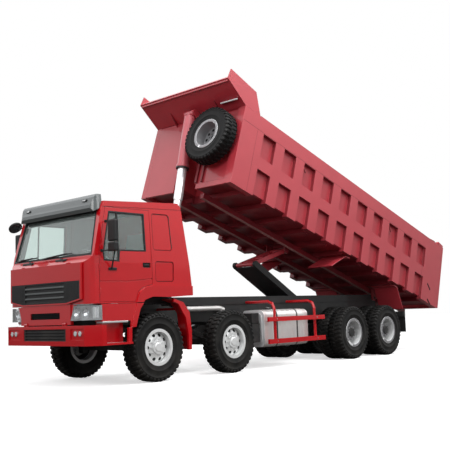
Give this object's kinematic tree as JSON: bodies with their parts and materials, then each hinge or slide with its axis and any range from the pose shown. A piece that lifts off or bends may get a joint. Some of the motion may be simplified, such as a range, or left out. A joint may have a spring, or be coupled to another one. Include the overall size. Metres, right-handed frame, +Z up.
{
  "type": "dump truck",
  "caption": "Full-size rigid dump truck with a tilting sleeper cab, a front-hoisted ribbed steel bed raised in the air, a top-hung tailgate and steered front wheels.",
  "frame": {"origin": "on the ground under the middle of the truck's bounding box, with the bed raised", "axes": "+X forward, +Y to the truck's left, +Z up"},
  "size_m": [11.0901, 2.7774, 5.5855],
  "materials": {
    "bed_red": "satin paint",
    "cab_red": "gloss paint",
    "frame_black": "satin paint",
    "tyre": "matte",
    "rim_silver": "satin paint",
    "tank_aluminium": "brushed",
    "glass": "clear",
    "lamp_glass": "clear",
    "plastic_black": "matte",
    "visor_grey": "gloss",
    "chrome": "polished",
    "interior": "matte"
  },
  "bodies": {
    "chassis": {"main_frame": "frame_black", "subframe": "frame_black", "front_bumper": "cab_red", "engine_block": "frame_black", "front_axles": "frame_black", "rear_axles": "frame_black", "front_mudguards": "cab_red", "bumper_grille": "plastic_black", "fuel_tank": "tank_aluminium", "side_boxes": "frame_black", "side_guards": "cab_red", "exhaust_pipe": "chrome", "mudguards": "plastic_black"},
    "cab": {"cab_shell": "cab_red", "windscreen": "glass", "visor": "visor_grey", "headlamps": "lamp_glass", "cab_interior": "interior"},
    "front_lid": {"front_lid": "cab_red", "grille": "plastic_black"},
    "bed": {"bed_floor": "bed_red", "bed_sides": "bed_red", "headboard": "bed_red", "spare_tyre": "tyre", "spare_rim": "rim_silver", "bed_mudguards": "bed_red"},
    "tailgate": {"tailgate": "bed_red"},
    "hoist_tube": {"hoist_tube": "bed_red"},
    "stay_lower": {"stay_lower": "frame_black"},
    "stay_upper": {"stay_upper": "bed_red"},
    "door_left": {"door_left": "cab_red", "door_glass_left": "glass", "mirrors_left": "plastic_black"},
    "door_right": {"door_right": "cab_red", "door_glass_right": "glass", "mirrors_right": "plastic_black"},
    "knuckle_left_1": {"knuckle_left_1": "frame_black"},
    "knuckle_right_1": {"knuckle_right_1": "frame_black"},
    "knuckle_left_2": {"knuckle_left_2": "frame_black"},
    "knuckle_right_2": {"knuckle_right_2": "frame_black"},
    "wheel_left_1": {"tyre_left_1": "tyre", "rim_left_1": "rim_silver"},
    "wheel_right_1": {"tyre_right_1": "tyre", "rim_right_1": "rim_silver"},
    "wheel_left_2": {"tyre_left_2": "tyre", "rim_left_2": "rim_silver"},
    "wheel_right_2": {"tyre_right_2": "tyre", "rim_right_2": "rim_silver"},
    "wheel_left_3": {"tyre_left_3": "tyre", "rim_left_3": "rim_silver"},
    "wheel_right_3": {"tyre_right_3": "tyre", "rim_right_3": "rim_silver"},
    "wheel_left_4": {"tyre_left_4": "tyre", "rim_left_4": "rim_silver"},
    "wheel_right_4": {"tyre_right_4": "tyre", "rim_right_4": "rim_silver"},
    "hoist_stage_1": {"hoist_stage_1": "chrome"},
    "hoist_stage_2": {"hoist_stage_2": "chrome"},
    "hoist_stage_3": {"hoist_stage_3": "chrome"},
    "hoist_stage_4": {"hoist_stage_4": "chrome"}
  },
  "joints": [
    {"name": "cab_tilt", "type": "hinge", "parent": "chassis", "child": "cab", "pos_m": [5.508, 0, 0.985], "axis": [0, 1, 0], "range_deg": [0, 50]},
    {"name": "front_lid_swing", "type": "hinge", "parent": "cab", "child": "front_lid", "pos_m": [5.514, 0, 1.929], "axis": [0, -1, 0], "range_deg": [0, 80]},
    {"name": "door_left_swing", "type": "hinge", "parent": "cab", "child": "door_left", "pos_m": [5.29, 1.15, 1.306], "axis": [0, 0, -1], "range_deg": [0, 70]},
    {"name": "door_right_swing", "type": "hinge", "parent": "cab", "child": "door_right", "pos_m": [5.29, -1.15, 1.306], "axis": [0, 0, 1], "range_deg": [0, 70]},
    {"name": "steer_left_1", "type": "hinge", "parent": "chassis", "child": "knuckle_left_1", "pos_m": [4.11, 0.86, 0.56], "axis": [0, 0, 1], "range_deg": [-35, 35]},
    {"name": "steer_right_1", "type": "hinge", "parent": "chassis", "child": "knuckle_right_1", "pos_m": [4.11, -0.86, 0.56], "axis": [0, 0, 1], "range_deg": [-35, 35]},
    {"name": "steer_left_2", "type": "hinge", "parent": "chassis", "child": "knuckle_left_2", "pos_m": [2.31, 0.86, 0.56], "axis": [0, 0, 1], "range_deg": [-25.2, 25.2]},
    {"name": "steer_right_2", "type": "hinge", "parent": "chassis", "child": "knuckle_right_2", "pos_m": [2.31, -0.86, 0.56], "axis": [0, 0, 1], "range_deg": [-25.2, 25.2]},
    {"name": "spin_left_1", "type": "hinge", "parent": "knuckle_left_1", "child": "wheel_left_1", "pos_m": [4.11, 1.01, 0.56], "axis": [0, 1, 0], "continuous": true},
    {"name": "spin_right_1", "type": "hinge", "parent": "knuckle_right_1", "child": "wheel_right_1", "pos_m": [4.11, -1.01, 0.56], "axis": [0, 1, 0], "continuous": true},
    {"name": "spin_left_2", "type": "hinge", "parent": "knuckle_left_2", "child": "wheel_left_2", "pos_m": [2.31, 1.01, 0.56], "axis": [0, 1, 0], "continuous": true},
    {"name": "spin_right_2", "type": "hinge", "parent": "knuckle_right_2", "child": "wheel_right_2", "pos_m": [2.31, -1.01, 0.56], "axis": [0, 1, 0], "continuous": true},
    {"name": "spin_left_3", "type": "hinge", "parent": "chassis", "child": "wheel_left_3", "pos_m": [-1.38, 0.92, 0.56], "axis": [0, 1, 0], "continuous": true},
    {"name": "spin_right_3", "type": "hinge", "parent": "chassis", "child": "wheel_right_3", "pos_m": [-1.38, -0.92, 0.56], "axis": [0, 1, 0], "continuous": true},
    {"name": "spin_left_4", "type": "hinge", "parent": "chassis", "child": "wheel_left_4", "pos_m": [-2.73, 0.92, 0.56], "axis": [0, 1, 0], "continuous": true},
    {"name": "spin_right_4", "type": "hinge", "parent": "chassis", "child": "wheel_right_4", "pos_m": [-2.73, -0.92, 0.56], "axis": [0, 1, 0], "continuous": true},
    {"name": "bed_tilt", "type": "hinge", "parent": "chassis", "child": "bed", "pos_m": [-3.39, 0, 1.3], "axis": [0, -1, 0], "range_deg": [-18.3, 26.7]},
    {"name": "tailgate_swing", "type": "hinge", "parent": "bed", "child": "tailgate", "pos_m": [-5.34497, 0, 2.62518], "axis": [0, 1, 0], "range_deg": [0, 70]},
    {"name": "hoist_swing", "type": "hinge", "parent": "bed", "child": "hoist_tube", "pos_m": [2.12172, 0, 4.99765], "axis": [0, -1, 0], "range_deg": [-10, 7]},
    {"name": "hoist_slide_1", "type": "slide", "parent": "hoist_tube", "child": "hoist_stage_1", "axis": [0.224, 0, -0.9746], "range_m": [-0.4865, 0.711]},
    {"name": "hoist_slide_2", "type": "slide", "parent": "hoist_stage_1", "child": "hoist_stage_2", "axis": [0.224, 0, -0.9746], "range_m": [-0.4865, 0.711]},
    {"name": "hoist_slide_3", "type": "slide", "parent": "hoist_stage_2", "child": "hoist_stage_3", "axis": [0.224, 0, -0.9746], "range_m": [-0.4865, 0.711]},
    {"name": "hoist_slide_4", "type": "slide", "parent": "hoist_stage_3", "child": "hoist_stage_4", "axis": [0.224, 0, -0.9746], "range_m": [-0.4865, 0.711]},
    {"name": "stay_foot", "type": "hinge", "parent": "chassis", "child": "stay_lower", "pos_m": [-0.84, 0, 1.18], "axis": [0, -1, 0], "range_deg": [-28, 41]},
    {"name": "stay_knee", "type": "hinge", "parent": "stay_lower", "child": "stay_upper", "pos_m": [0.66, 0, 2.04], "axis": [0, -1, 0], "range_deg": [-65, 44.5]}
  ],
  "couplings": [
    {"joint": "steer_right_1", "follows": "steer_left_1", "ratio": 1},
    {"joint": "steer_left_2", "follows": "steer_left_1", "ratio": 0.72},
    {"joint": "steer_right_2", "follows": "steer_left_1", "ratio": 0.72},
    {"joint": "hoist_swing", "follows": "bed_tilt", "ratio": -0.36},
    {"joint": "hoist_slide_1", "follows": "bed_tilt", "m_per_rad": 1.52},
    {"joint": "hoist_slide_2", "follows": "bed_tilt", "m_per_rad": 1.52},
    {"joint": "hoist_slide_3", "follows": "bed_tilt", "m_per_rad": 1.52},
    {"joint": "hoist_slide_4", "follows": "bed_tilt", "m_per_rad": 1.52},
    {"joint": "stay_foot", "follows": "bed_tilt", "ratio": 1.5},
    {"joint": "stay_knee", "follows": "bed_tilt", "ratio": -2.4}
  ]
}
